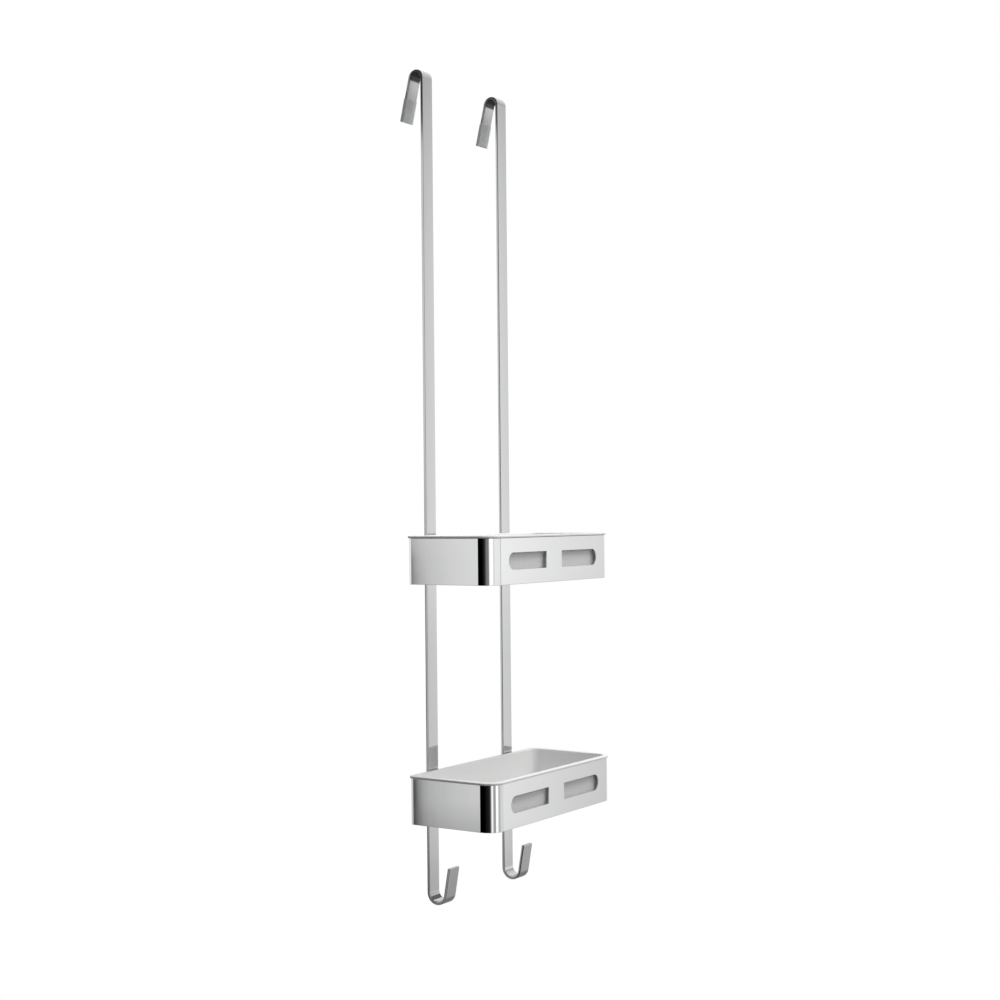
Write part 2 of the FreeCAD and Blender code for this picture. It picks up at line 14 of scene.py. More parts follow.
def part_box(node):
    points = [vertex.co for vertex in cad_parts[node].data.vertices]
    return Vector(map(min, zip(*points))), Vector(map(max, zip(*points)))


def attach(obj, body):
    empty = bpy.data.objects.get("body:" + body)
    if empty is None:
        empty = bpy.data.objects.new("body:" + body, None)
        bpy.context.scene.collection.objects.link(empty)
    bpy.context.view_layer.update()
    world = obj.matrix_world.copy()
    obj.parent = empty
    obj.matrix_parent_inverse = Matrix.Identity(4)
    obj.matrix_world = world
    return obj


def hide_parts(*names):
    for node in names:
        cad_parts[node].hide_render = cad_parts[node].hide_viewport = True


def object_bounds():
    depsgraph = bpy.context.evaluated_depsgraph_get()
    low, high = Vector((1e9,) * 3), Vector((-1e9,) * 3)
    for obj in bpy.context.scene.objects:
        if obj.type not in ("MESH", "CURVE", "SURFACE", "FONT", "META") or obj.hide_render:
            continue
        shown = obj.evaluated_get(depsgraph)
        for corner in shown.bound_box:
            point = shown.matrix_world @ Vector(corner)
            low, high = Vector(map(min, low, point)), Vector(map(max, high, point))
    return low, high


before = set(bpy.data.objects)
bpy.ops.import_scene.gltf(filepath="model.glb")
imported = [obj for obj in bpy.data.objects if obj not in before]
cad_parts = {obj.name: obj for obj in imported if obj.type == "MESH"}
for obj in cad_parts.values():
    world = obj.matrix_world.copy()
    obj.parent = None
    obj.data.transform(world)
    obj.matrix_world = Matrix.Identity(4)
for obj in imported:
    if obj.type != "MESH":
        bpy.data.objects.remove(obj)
CAD_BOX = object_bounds()
MM = 0.001

# Rails: the straight run's place and thickness come from the pieces in front of it and behind it
RAIL_BOXES = {"left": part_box("left_rail"), "right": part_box("right_rail")}
RAIL_WIDTH = RAIL_BOXES["left"][1].x - RAIL_BOXES["left"][0].x
RAIL_PLACES = [(low.x + high.x) / 2 for low, high in RAIL_BOXES.values()]
RAIL_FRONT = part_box("upper_bosses")[1].y
RAIL_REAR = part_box("upper_cross_bar")[0].y
RAIL_THICKNESS = RAIL_REAR - RAIL_FRONT
RAIL_EDGE = 0.55 * MM
LEAST_EDGE = 0.05 * MM
CROWN_RADIUS = -RAIL_REAR
CROWN_FLARE = math.radians(13.5)
CROWN_LEG = 48.5 * MM
COAT_RADIUS = 9.5 * MM
COAT_FLARE = math.radians(10)
COAT_LEG = 31 * MM
BEND_STEPS = 48

# Soft sleeves on the tips of the top hooks
SLEEVE_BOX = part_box("left_hook_sleeve")
SLEEVE_LENGTH = 26 * MM
SLEEVE_WALL = (SLEEVE_BOX[1].x - SLEEVE_BOX[0].x - RAIL_WIDTH) / 2
SLEEVE_EDGE = 0.55 * MM
SLEEVE_LIP = 0.25 * MM
SLEEVE_PLAY = 0.04 * MM

# The top hooks: the leg gets duller towards its sleeve, and the inside of the bend is painted dark as
# painted shade
DULL_START = 5 * MM
DULL_FULL = 11 * MM
DULL_END = CROWN_RADIUS + (CROWN_LEG - SLEEVE_LENGTH) * math.sin(CROWN_FLARE)
DULL_REACH = 20 * MM
DULLNESS = 0.42
PAINTED_SHADE_LAYER = 1 * MM
PAINTED_SHADE_COLOUR = (0.08, 0.08, 0.08, 1)

# Basket bands
SHEET = 1.5 * MM
SHEET_EDGE = 0.4 * MM
FRONT_CORNER = 18 * MM
REAR_CORNER = 5 * MM
SLOT_HEIGHT = 18 * MM
SLOT_INNER = 16 * MM
SLOT_OUTER = 92 * MM
SLOT_CORNER = 0.8 * MM
FRONT_CORNER_STEPS = 40
REAR_CORNER_STEPS = 16

# Trays
SEAT_GAP = 0.2 * MM
RIM_OVERHANG = 1.5 * MM
RIM_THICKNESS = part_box("upper_tray")[1].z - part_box("upper_basket_band")[1].z - SEAT_GAP
RIM_EDGE = 0.8 * MM
WALL_INSET = 1.8 * MM
WALL = 1.6 * MM
TRAY_REAR_CORNER = 10 * MM
TRAY_FLOOR = 2 * MM
TRAY_DRAFT = math.radians(4)
FLOOR_ROUND = 4 * MM
FLOOR_MARGIN = 1.1 * FLOOR_ROUND
DRAIN_RADIUS = 2.5 * MM
DRAIN_COUNT = 7
DRAIN_SPAN = 150 * MM
DRAIN_EDGE = 0.5 * MM

# Fixings behind the baskets
BAR_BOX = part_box("upper_cross_bar")
HIGH_SCREW = (BAR_BOX[0].z + BAR_BOX[1].z) / 2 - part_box("upper_basket_band")[0].z
LOW_SCREW = 10 * MM
BOSS_RADIUS = 5 * MM
BOSS_BORE = 2.4 * MM
BOSS_CHAMFER = 0.3 * MM
WELD_WIDTH = 1.1 * MM
WELD_RIPPLES = 13
WELD_RIPPLE = 0.12 * MM
WELD_TOLERANCE = 0.01 * MM
BAR_CORNER = 4 * MM
BAR_EDGE = 0.4 * MM
SCREW_HOLE = 2.7 * MM
COUNTERSINK = 5 * MM
HEAD_RADIUS = 4.8 * MM
HEAD_BEVEL = 0.15 * MM
HEAD_EDGE = 0.1 * MM
THREAD_RADIUS = 2.5 * MM
THREAD_DEPTH = 0.42 * MM
THREAD_PITCH = 0.8 * MM
THREAD_STEPS = 8
THREAD_LEFT_AT_END = 0.35
SOCKET_RADIUS = 1.73 * MM
SOCKET_DEPTH = 1.9 * MM
SOCKET_EDGE = 0.1 * MM
SOCKET_FLOOR_RADIUS = 0.6 * SOCKET_RADIUS
SOCKET_WALL_DEPTH = 0.85 * SOCKET_DEPTH
PAD_RADIUS = 5 * MM
PAD_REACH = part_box("upper_glass_pads")[1].x - PAD_RADIUS
PAD_EDGE = 0.6 * MM
PAD_DOME = 0.15 * MM
PAD_CROWN_RADIUS = 0.45 * PAD_RADIUS
PAD_MIDDLE_RADIUS = 0.2 * PAD_RADIUS

ROUND_STEPS = 5
CIRCLE_STEPS = 48
SHARP_ANGLE = math.radians(35)
FLAT_FACE_WEIGHT = 80
SIDES = (-1, 1)
BASKETS = ("upper", "lower")

# Studio. The camera's angles are its heading from +Y towards +X, its pitch and its roll, in degrees
CAMERA_PLACE = Vector((-1.563, -1.089, -0.492))
CAMERA_ANGLES = (56.44, 0.47, -0.54)
CAMERA_LENS = 59.45
CAMERA_SENSOR = 36
CAMERA_FAR = 30
ROOM_LIGHT = 1.5
KEY_POWER = 60
KEY_SIZE = (1.6, 2.0)
KEY_OFFSET = (0.3, -0.95, 2.35)
FLOOR_HEIGHT = -1.95
FLOOR_RADIUS = 2.9
FLOOR_SOLID_RADIUS = FLOOR_RADIUS * 0.55
FLOOR_SEGMENTS = 96
WHITE = (1, 1, 1, 1)


# ---------------------------------------------------------------- outlines and profiles

def arc_points(centre, radius, first, last, steps):
    """Points (a, b) along an arc between two angles in radians."""
    angles = [first + (last - first) * step / steps for step in range(steps + 1)]
    return [(centre[0] + radius * math.cos(t), centre[1] + radius * math.sin(t)) for t in angles]


def rounded_profile(corners):
    """An open line through (a, b, radius) corners, each rounded by an arc of that radius."""
    points = []
    for index, (a, b, radius) in enumerate(corners):
        here = Vector((a, b))
        if radius == 0 or index in (0, len(corners) - 1):
            points.append((a, b))
            continue
        back = (Vector(corners[index - 1][:2]) - here).normalized()
        ahead = (Vector(corners[index + 1][:2]) - here).normalized()
        half = back.angle(ahead) / 2
        centre = here + (back + ahead).normalized() * (radius / math.sin(half))
        start = here + back * (radius / math.tan(half)) - centre
        end = here + ahead * (radius / math.tan(half)) - centre
        turn = start.angle_signed(end)
        for step in range(ROUND_STEPS + 1):
            spoke = start.copy()
            spoke.rotate(Matrix.Rotation(-turn * step / ROUND_STEPS, 2))
            points.append(tuple(centre + spoke))
    return points


def rounded_box(half_a, half_b, radius, steps=ROUND_STEPS):
    """A closed outline about the middle.

    Its flat at +b comes after the first corner, and the one at -b after the third.
    """
    points = []
    for quarter, (side_a, side_b) in enumerate(((1, 1), (-1, 1), (-1, -1), (1, -1))):
        centre = (side_a * (half_a - radius), side_b * (half_b - radius))
        first = quarter * math.pi / 2
        points += arc_points(centre, radius, first, first + math.pi / 2, steps)
    return points


def plan_outline(low, high, front_radius, rear_radius, inset=0.0):
    """A basket's outline seen from above, front flat last to first, drawn in by inset."""
    corners = (
        (1, -1, front_radius, FRONT_CORNER_STEPS),
        (1, 1, rear_radius, REAR_CORNER_STEPS),
        (-1, 1, rear_radius, REAR_CORNER_STEPS),
        (-1, -1, front_radius, FRONT_CORNER_STEPS),
    )
    points = []
    for index, (side_x, side_y, radius, steps) in enumerate(corners):
        corner_x = high.x if side_x > 0 else low.x
        corner_y = high.y if side_y > 0 else low.y
        centre = (corner_x - side_x * radius, corner_y - side_y * radius)
        first = (index - 1) * math.pi / 2
        points += arc_points(centre, radius - inset, first, first + math.pi / 2, steps)
    return points


def slot_outline(side, middle, spread=0.0):
    """A slot's outline in the front: square inner end, round outer end, grown by spread."""
    half = SLOT_HEIGHT / 2
    turn = SLOT_CORNER + spread
    inner = SLOT_INNER - spread + turn
    edge = half + spread - turn
    points = arc_points((inner, middle + edge), turn, math.pi / 2, math.pi, ROUND_STEPS)
    points += arc_points((inner, middle - edge), turn, math.pi, 1.5 * math.pi, ROUND_STEPS)
    outer = (SLOT_OUTER - half, middle)
    points += arc_points(outer, half + spread, -math.pi / 2, math.pi / 2, CIRCLE_STEPS // 2)
    return [(side * x, z) for x, z in points]


def circle(radius):
    """A closed circle of points about the middle."""
    return arc_points((0, 0), radius, 0, 2 * math.pi * (1 - 1 / CIRCLE_STEPS), CIRCLE_STEPS - 1)


def hexagon(apothem):
    """A hexagon with as many points as a circle, so that rings of both join."""
    sixth = math.pi / 3
    angles = [2 * math.pi * step / CIRCLE_STEPS for step in range(CIRCLE_STEPS)]
    reach = [apothem / math.cos(angle % sixth - sixth / 2) for angle in angles]
    return [(r * math.cos(angle), r * math.sin(angle)) for r, angle in zip(reach, angles)]


# ---------------------------------------------------------------- meshes

def add_ring(bm, points):
    """New vertices at these places."""
    return [bm.verts.new(point) for point in points]


def join_rings(bm, rings, skipped=(), closed=False):
    """Quads between rings of vertices; skipped holds (ring, point) places that stay open."""
    pairs = list(zip(rings, rings[1:]))
    if closed:
        pairs.append((rings[-1], rings[0]))
    for level, (lower, upper) in enumerate(pairs):
        for index, vertex in enumerate(lower):
            after = (index + 1) % len(lower)
            if (level, index) not in skipped:
                bm.faces.new((vertex, lower[after], upper[after], upper[index]))


def fill_panel(bm, *loops):
    """Fill a flat area between its border and its holes, each a closed loop of vertices."""
    edges = []
    for loop in loops:
        for start, end in zip(loop, loop[1:] + loop[:1]):
            edges.append(bm.edges.get((start, end)) or bm.edges.new((start, end)))
    bmesh.ops.triangle_fill(bm, use_beauty=True, edges=edges)


def add_piece(name, bm, material, body, replaced):
    """Turn a finished bmesh into a piece with smooth shading that rides on its body."""
    bmesh.ops.recalc_face_normals(bm, faces=bm.faces)
    mesh = bpy.data.meshes.new(name)
    bm.to_mesh(mesh)
    bm.free()
    mesh.shade_smooth()
    mesh.set_sharp_from_angle(angle=SHARP_ANGLE)
    mesh.materials.append(material)
    piece = bpy.data.objects.new(name, mesh)
    bpy.context.scene.collection.objects.link(piece)
    weighted = piece.modifiers.new("flat_faces_stay_flat", "WEIGHTED_NORMAL")
    weighted.keep_sharp = True
    weighted.weight = FLAT_FACE_WEIGHT
    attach(piece, body)
    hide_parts(replaced)


def about_y(points, centre, depth):
    """Points of a flat outline, set upright about a centre at one depth."""
    return [(centre.x + a, depth, centre.z + b) for a, b in points]


def turned_rings(bm, profile, centre):
    """Circles about a line along Y through centre; the profile holds (radius, depth)."""
    return [add_ring(bm, about_y(circle(radius), centre, depth)) for radius, depth in profile]


# ---------------------------------------------------------------- pieces

def rail_section(inset=0.0):
    """Section of the flat bar: (across, outwards) points."""
    half_width = RAIL_WIDTH / 2 - inset
    half_thickness = RAIL_THICKNESS / 2 - inset
    return rounded_box(half_width, half_thickness, max(RAIL_EDGE - inset, LEAST_EDGE))


def bend(centre, radius, first, last, outwards):
    """Places along a bend in the YZ plane, each with the direction that the bar's front face looks."""
    angles = [first + (last - first) * step / BEND_STEPS for step in range(BEND_STEPS + 1)]
    spokes = [Vector((0, math.cos(angle), math.sin(angle))) for angle in angles]
    return [(centre + spoke * radius, spoke * outwards, 0.0) for spoke in spokes]


def tip(place, facing, along, reach, edge):
    """Places from a leg's start to its rounded end."""
    end = place + along * (reach - edge)
    steps = [math.pi / 2 * step / ROUND_STEPS for step in range(ROUND_STEPS + 1)]
    return [(end + along * edge * math.sin(t), facing, edge * (1 - math.cos(t))) for t in steps]


def rail_route(low, high):
    """The bar's centre line from the tip of its top hook to the tip of its coat hook."""
    middle = RAIL_THICKNESS / 2
    crown = Vector(((low.x + high.x) / 2, 0, high.z - RAIL_THICKNESS - CROWN_RADIUS))
    top = bend(crown, CROWN_RADIUS + middle, CROWN_FLARE, math.pi, 1)
    outer = COAT_RADIUS + RAIL_THICKNESS
    coat = Vector((crown.x, RAIL_REAR - outer, low.z + outer))
    foot = bend(coat, COAT_RADIUS + middle, 0, COAT_FLARE - math.pi, -1)
    hang = Vector((0, math.sin(CROWN_FLARE), -math.cos(CROWN_FLARE)))
    rise = Vector((0, -math.sin(COAT_FLARE), math.cos(COAT_FLARE)))
    start = tip(*top[0][:2], hang, CROWN_LEG, RAIL_EDGE)[::-1]
    end = tip(*foot[-1][:2], rise, COAT_LEG, RAIL_EDGE)
    return start, top, foot, end


def make_rail(name, low, high):
    """One chromed flat bar with its two hooks and its screw holes."""
    bm = bmesh.new()
    start, top, foot, end = rail_route(low, high)
    rings = []
    for place, facing, inset in start + top + foot + end:
        section = rail_section(inset)
        rings.append(add_ring(bm, [place + Vector((a, 0, 0)) + facing * b for a, b in section]))
    straight = len(start) + len(top) - 1
    corner = ROUND_STEPS + 1
    front, rear = corner - 1, 3 * corner - 1
    join_rings(bm, rings, skipped={(straight, front), (straight, rear)})
    bm.faces.new(rings[0])
    bm.faces.new(rings[-1])

    front_holes, rear_holes = [], []
    for basket in BASKETS:
        foot_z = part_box(f"{basket}_basket_band")[0].z
        for height in (HIGH_SCREW, LOW_SCREW):
            centre = Vector(((low.x + high.x) / 2, 0, foot_z + height))
            profile = [(SCREW_HOLE, RAIL_FRONT), (SCREW_HOLE, RAIL_REAR)]
            if height == LOW_SCREW:
                sink = COUNTERSINK - SCREW_HOLE
                profile[1:] = [(SCREW_HOLE, RAIL_REAR - sink), (COUNTERSINK, RAIL_REAR)]
            hole = turned_rings(bm, profile, centre)
            join_rings(bm, hole)
            front_holes.append(hole[0])
            rear_holes.append(hole[-1])
    before, after = rings[straight], rings[straight + 1]
    for index, holes in ((front, front_holes), (rear, rear_holes)):
        border = [before[index], before[index + 1], after[index + 1], after[index]]
        fill_panel(bm, border, *holes)
    add_piece(f"{name}_bar", bm, BAR_CHROME, "frame", name)


def make_sleeve(name, rail_low, rail_high):
    """Soft sleeve over the end of a top hook: a closed sock with a rounded mouth and foot."""
    bm = bmesh.new()
    top = rail_route(rail_low, rail_high)[1]
    place, facing, _ = top[0]
    along = Vector((0, math.sin(CROWN_FLARE), -math.cos(CROWN_FLARE)))
    foot = CROWN_LEG + SLEEVE_WALL
    mouth = foot - SLEEVE_LENGTH
    # Each corner: distance along the leg, growth over the rail's section, rounding
    corners = [
        (CROWN_LEG + SLEEVE_PLAY, 0, 0),
        (CROWN_LEG + SLEEVE_PLAY, SLEEVE_PLAY, 0),
        (mouth, SLEEVE_PLAY, SLEEVE_LIP),
        (mouth, SLEEVE_WALL, SLEEVE_LIP),
        (foot, SLEEVE_WALL, SLEEVE_EDGE),
        (foot, 0, 0),
    ]
    rings = []
    for reach, growth in rounded_profile(corners):
        half_width = RAIL_WIDTH / 2 + growth
        half_thickness = RAIL_THICKNESS / 2 + growth
        section = rounded_box(half_width, half_thickness, RAIL_EDGE + growth)
        centre = place + along * reach
        rings.append(add_ring(bm, [centre + Vector((a, 0, 0)) + facing * b for a, b in section]))
    join_rings(bm, rings)
    bm.faces.new(rings[0])
    bm.faces.new(rings[-1])
    add_piece(f"{name}_sock", bm, SLEEVE, "frame", name)


def make_band(name, low, high):
    """Bent sheet band with two slots in its front; all its edges are rounded over."""
    bm = bmesh.new()
    half = SHEET / 2
    corners = [
        (0, high.z - half, 0),
        (0, high.z, SHEET_EDGE),
        (SHEET, high.z, SHEET_EDGE),
        (SHEET, low.z, SHEET_EDGE),
        (0, low.z, SHEET_EDGE),
        (0, low.z + half, 0),
    ]
    rings = []
    for inset, height in rounded_profile(corners)[1:-1]:
        outline = plan_outline(low, high, FRONT_CORNER, REAR_CORNER, inset)
        rings.append(add_ring(bm, [(x, y, height) for x, y in outline]))
    inside = 2 * (ROUND_STEPS + 1) - 1
    outside = len(rings) - 1
    last = len(rings[0]) - 1
    join_rings(bm, rings, skipped={(inside, last), (outside, last)}, closed=True)

    middle = (low.z + high.z) / 2
    lip = [
        (SHEET_EDGE, low.y, 0),
        (0, low.y, SHEET_EDGE),
        (0, low.y + SHEET, SHEET_EDGE),
        (SHEET_EDGE, low.y + SHEET, 0),
    ]
    holes = []
    for side in SIDES:
        loops = []
        for spread, depth in rounded_profile(lip)[1:-1]:
            outline = slot_outline(side, middle, spread)
            loops.append(add_ring(bm, [(x, depth, z) for x, z in outline]))
        join_rings(bm, loops)
        holes.append(loops)
    for level, place in ((outside, 0), (inside, -1)):
        lower, upper = rings[level], rings[(level + 1) % len(rings)]
        border = [lower[last], lower[0], upper[0], upper[last]]
        fill_panel(bm, border, *[loops[place] for loops in holes])
    add_piece(f"{name}_sheet", bm, CHROME, "frame", name)


def make_tray(name, low, high, basket):
    """Moulded insert: a flat rim, drafted walls and a floor with drain holes."""
    bm = bmesh.new()
    band_low, band_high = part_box(f"{basket}_basket_band")
    inset = SHEET + WALL_INSET
    wall_low = band_low + Vector((inset, inset, 0))
    wall_high = band_high - Vector((inset, inset, 0))
    wall_front = FRONT_CORNER - inset

    def rim_ring(inwards, height):
        outline = plan_outline(low, high, FRONT_CORNER + RIM_OVERHANG, REAR_CORNER + RIM_OVERHANG, inwards)
        return add_ring(bm, [(x, y, height) for x, y in outline])

    def wall_ring(inwards, height):
        outline = plan_outline(wall_low, wall_high, wall_front, TRAY_REAR_CORNER, inwards)
        return add_ring(bm, [(x, y, height) for x, y in outline])

    under = high.z - RIM_THICKNESS
    lean = math.tan(TRAY_DRAFT)
    foot = (under - low.z) * lean
    inner_foot = foot - TRAY_FLOOR * lean + WALL
    reach = inner_foot + FLOOR_MARGIN
    inside = rounded_profile([
        (reach, low.z + TRAY_FLOOR, 0),
        (inner_foot, low.z + TRAY_FLOOR, FLOOR_ROUND),
        (WALL - RIM_THICKNESS * lean, high.z, RIM_EDGE),
        (-RIM_OVERHANG, high.z, 0),
    ])[:-1]
    edge = rounded_profile([
        (inset, high.z, 0),
        (0, high.z, RIM_EDGE),
        (0, under, RIM_EDGE / 2),
        (inset, under, 0),
    ])[1:-1]
    outside = rounded_profile([
        (-inset, under, 0),
        (0, under, RIM_EDGE / 2),
        (foot, low.z, FLOOR_ROUND + WALL),
        (reach, low.z, 0),
    ])[1:]
    rings = [wall_ring(*place) for place in inside]
    rings += [rim_ring(*place) for place in edge]
    rings += [wall_ring(*place) for place in outside]
    join_rings(bm, rings)

    middle = (low.y + high.y) / 2
    top_holes, bottom_holes = [], []
    bore = rounded_profile([
        (DRAIN_RADIUS + DRAIN_EDGE, low.z + TRAY_FLOOR, 0),
        (DRAIN_RADIUS, low.z + TRAY_FLOOR, DRAIN_EDGE),
        (DRAIN_RADIUS, low.z, DRAIN_EDGE),
        (DRAIN_RADIUS + DRAIN_EDGE, low.z, 0),
    ])[1:-1]
    for index in range(DRAIN_COUNT):
        x = DRAIN_SPAN * (index / (DRAIN_COUNT - 1) - 0.5)
        loops = []
        for radius, height in bore:
            loops.append(add_ring(bm, [(x + a, middle + b, height) for a, b in circle(radius)]))
        join_rings(bm, loops)
        top_holes.append(loops[0])
        bottom_holes.append(loops[-1])
    fill_panel(bm, rings[0], *top_holes)
    fill_panel(bm, rings[-1], *bottom_holes)
    add_piece(f"{name}_moulding", bm, PLASTIC, f"{basket}_insert", name)


def make_cross_bar(name, low, high, basket):
    """Flat bar behind the rails with rounded corners and two countersunk holes."""
    bm = bmesh.new()
    centre = (low + high) / 2
    half_width = (high.x - low.x) / 2
    half_height = (high.z - low.z) / 2
    corners = [
        (2 * BAR_EDGE, low.y, 0),
        (0, low.y, BAR_EDGE),
        (0, high.y, BAR_EDGE),
        (2 * BAR_EDGE, high.y, 0),
    ]
    rings = []
    for inset, depth in rounded_profile(corners)[1:-1]:
        outline = rounded_box(half_width - inset, half_height - inset, BAR_CORNER - inset, 2 * ROUND_STEPS)
        rings.append(add_ring(bm, about_y(outline, centre, depth)))
    join_rings(bm, rings)
    front_holes, rear_holes = [], []
    foot_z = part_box(f"{basket}_basket_band")[0].z
    for x in RAIL_PLACES:
        sink = COUNTERSINK - SCREW_HOLE
        profile = [(SCREW_HOLE, low.y), (SCREW_HOLE, high.y - sink), (COUNTERSINK, high.y)]
        hole = turned_rings(bm, profile, Vector((x, 0, foot_z + HIGH_SCREW)))
        join_rings(bm, hole)
        front_holes.append(hole[0])
        rear_holes.append(hole[-1])
    fill_panel(bm, rings[0], *front_holes)
    fill_panel(bm, rings[-1], *rear_holes)
    add_piece(f"{name}_plate", bm, BAR_CHROME, "frame", name)


def make_bosses(name, low, high, basket):
    """Four bored spacers, each welded to the back of the band with a rippled bead."""
    bm = bmesh.new()
    foot_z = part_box(f"{basket}_basket_band")[0].z
    corners = [
        (BOSS_BORE, low.y, 0),
        (BOSS_RADIUS + WELD_WIDTH, low.y, 0),
        (BOSS_RADIUS, low.y + WELD_WIDTH, WELD_WIDTH / 2),
        (BOSS_RADIUS, high.y, BOSS_CHAMFER),
        (BOSS_BORE, high.y, BOSS_CHAMFER),
        (BOSS_BORE, low.y, 0),
    ]
    profile = rounded_profile(corners)[:-1]
    for x in RAIL_PLACES:
        for height in (HIGH_SCREW, LOW_SCREW):
            centre = Vector((x, 0, foot_z + height))
            rings = turned_rings(bm, profile, centre)
            join_rings(bm, rings, closed=True)
            for ring, (radius, _) in zip(rings, profile):
                if radius > BOSS_RADIUS + WELD_TOLERANCE:
                    ripple_weld(ring, centre)
    add_piece(f"{name}_welded", bm, BAR_CHROME, "frame", name)


def ripple_weld(ring, centre):
    """Push one ring of a weld bead in and out evenly, as the welder's steps leave it."""
    for index, vertex in enumerate(ring):
        spoke = Vector((vertex.co.x - centre.x, 0, vertex.co.z - centre.z)).normalized()
        wave = math.cos(2 * math.pi * WELD_RIPPLES * index / len(ring))
        vertex.co += spoke * WELD_RIPPLE * wave


def make_screws(name, low, high, height, basket):
    """Two countersunk screws with hexagon sockets and a real helical thread."""
    bm = bmesh.new()
    foot_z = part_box(f"{basket}_basket_band")[0].z
    neck = high.y - (HEAD_RADIUS - THREAD_RADIUS)
    rows = int((neck - low.y) / THREAD_PITCH * THREAD_STEPS)
    socket = [
        (SOCKET_FLOOR_RADIUS, SOCKET_DEPTH),
        (SOCKET_RADIUS, SOCKET_WALL_DEPTH),
        (SOCKET_RADIUS, SOCKET_EDGE),
        (SOCKET_RADIUS + SOCKET_EDGE, 0),
    ]
    head = [
        (HEAD_RADIUS - HEAD_BEVEL, high.y),
        (HEAD_RADIUS, high.y - HEAD_EDGE),
        (THREAD_RADIUS, neck),
    ]
    for x in RAIL_PLACES:
        centre = Vector((x, 0, foot_z + height))
        rings = [
            add_ring(bm, about_y(hexagon(apothem), centre, high.y - depth))
            for apothem, depth in socket
        ]
        rings += turned_rings(bm, head, centre)
        for row in range(1, rows + 1):
            depth = neck - row * THREAD_PITCH / THREAD_STEPS
            fade = min(1, row / THREAD_STEPS, (rows - row) / THREAD_STEPS + THREAD_LEFT_AT_END)
            rings.append(add_ring(bm, about_y(thread_outline(row, fade), centre, depth)))
        rings.append(add_ring(bm, about_y(circle(THREAD_RADIUS - 2 * THREAD_DEPTH), centre, low.y)))
        join_rings(bm, rings)
        bm.faces.new(rings[0])
        bm.faces.new(rings[-1])
    add_piece(f"{name}_turned", bm, STEEL, "frame", name)


def thread_outline(row, fade):
    """One slice across a screw thread: the radius rises and falls once in a turn."""
    points = []
    for step in range(CIRCLE_STEPS):
        turn = (step / CIRCLE_STEPS + row / THREAD_STEPS) % 1
        radius = THREAD_RADIUS - THREAD_DEPTH * fade * abs(2 * turn - 1)
        angle = 2 * math.pi * step / CIRCLE_STEPS
        points.append((radius * math.cos(angle), radius * math.sin(angle)))
    return points


def make_pads(name, low, high):
    """Two soft clear bumpers with a slightly crowned face towards the glass."""
    bm = bmesh.new()
    centre_z = (low.z + high.z) / 2
    profile = rounded_profile([
        (PAD_MIDDLE_RADIUS, low.y, 0),
        (PAD_RADIUS, low.y, PAD_EDGE / 3),
        (PAD_RADIUS, high.y - PAD_DOME, PAD_EDGE),
        (PAD_CROWN_RADIUS, high.y, 2 * PAD_EDGE),
        (PAD_MIDDLE_RADIUS, high.y, 0),
    ])
    for side in SIDES:
        rings = turned_rings(bm, profile, Vector((side * PAD_REACH, 0, centre_z)))
        join_rings(bm, rings)
        bm.faces.new(rings[0])
        bm.faces.new(rings[-1])
    add_piece(f"{name}_bumpers", bm, PAD, "frame", name)


# ---------------------------------------------------------------- materials

class Graph:
    """Short ways to add nodes to a node tree."""

    def __init__(self, tree):
        self.tree = tree

    def add(self, kind, inputs=None, **settings):
        """Add a node; inputs holds numbers, colours or sockets to link, by name or index."""
        node = self.tree.nodes.new(kind)
        for key, value in settings.items():
            setattr(node, key, value)
        for key, value in (inputs or {}).items():
            if isinstance(value, bpy.types.NodeSocket):
                self.tree.links.new(value, node.inputs[key])
            else:
                node.inputs[key].default_value = value
        return node

    def math(self, operation, first, second=0.0):
        """A Math node's result."""
        return self.add("ShaderNodeMath", {0: first, 1: second}, operation=operation).outputs[0]

    def mix(self, factor, first, second, blend="MIX"):
        """Two colours mixed. A Mix node keeps its colour sockets at inputs 6 and 7 and at output 2."""
        inputs = {"Factor": factor, 6: first, 7: second}
        return self.add("ShaderNodeMix", inputs, data_type="RGBA", blend_type=blend).outputs[2]

    def multiply(self, first, second):
        """Two colours multiplied."""
        return self.mix(1.0, first, second, "MULTIPLY")

    def ramp(self, value, low, high, stops):
        """Grey levels at chosen values between low and high. The stops are (value, level) pairs."""
        spread = self.add("ShaderNodeMapRange", {"Value": value, "From Min": low, "From Max": high})
        node = self.add("ShaderNodeValToRGB", {"Fac": spread.outputs["Result"]})
        elements = node.color_ramp.elements
        while len(elements) < len(stops):
            elements.new(0.5)
        for element, (place, _) in zip(elements, stops):
            element.position = (place - low) / (high - low)
        for element, (_, level) in zip(elements, stops):
            element.color = (level, level, level, 1)
        return node.outputs["Color"]

    def noise(self, scale, detail=3.0, roughness=0.5, stretch=(1, 1, 1)):
        """Noise in the piece's own coordinates, in metres."""
        place = self.add("ShaderNodeTexCoord").outputs["Object"]
        scaled = self.add("ShaderNodeMapping", {"Vector": place, "Scale": stretch}).outputs[0]
        inputs = {"Vector": scaled, "Scale": scale, "Detail": detail, "Roughness": roughness}
        return self.add("ShaderNodeTexNoise", inputs).outputs[0]

    def between(self, value, low, high, start=0.0, end=1.0):
        """Spread a value from start to end over low to high."""
        inputs = {"Value": value, "From Min": start, "From Max": end, "To Min": low, "To Max": high}
        return self.add("ShaderNodeMapRange", inputs).outputs["Result"]

    def bump(self, height, distance, strength=1.0, normal=None):
        """A bump of that height in metres."""
        inputs = {"Height": height, "Distance": distance, "Strength": strength}
        if normal is not None:
            inputs["Normal"] = normal
        return self.add("ShaderNodeBump", inputs).outputs["Normal"]


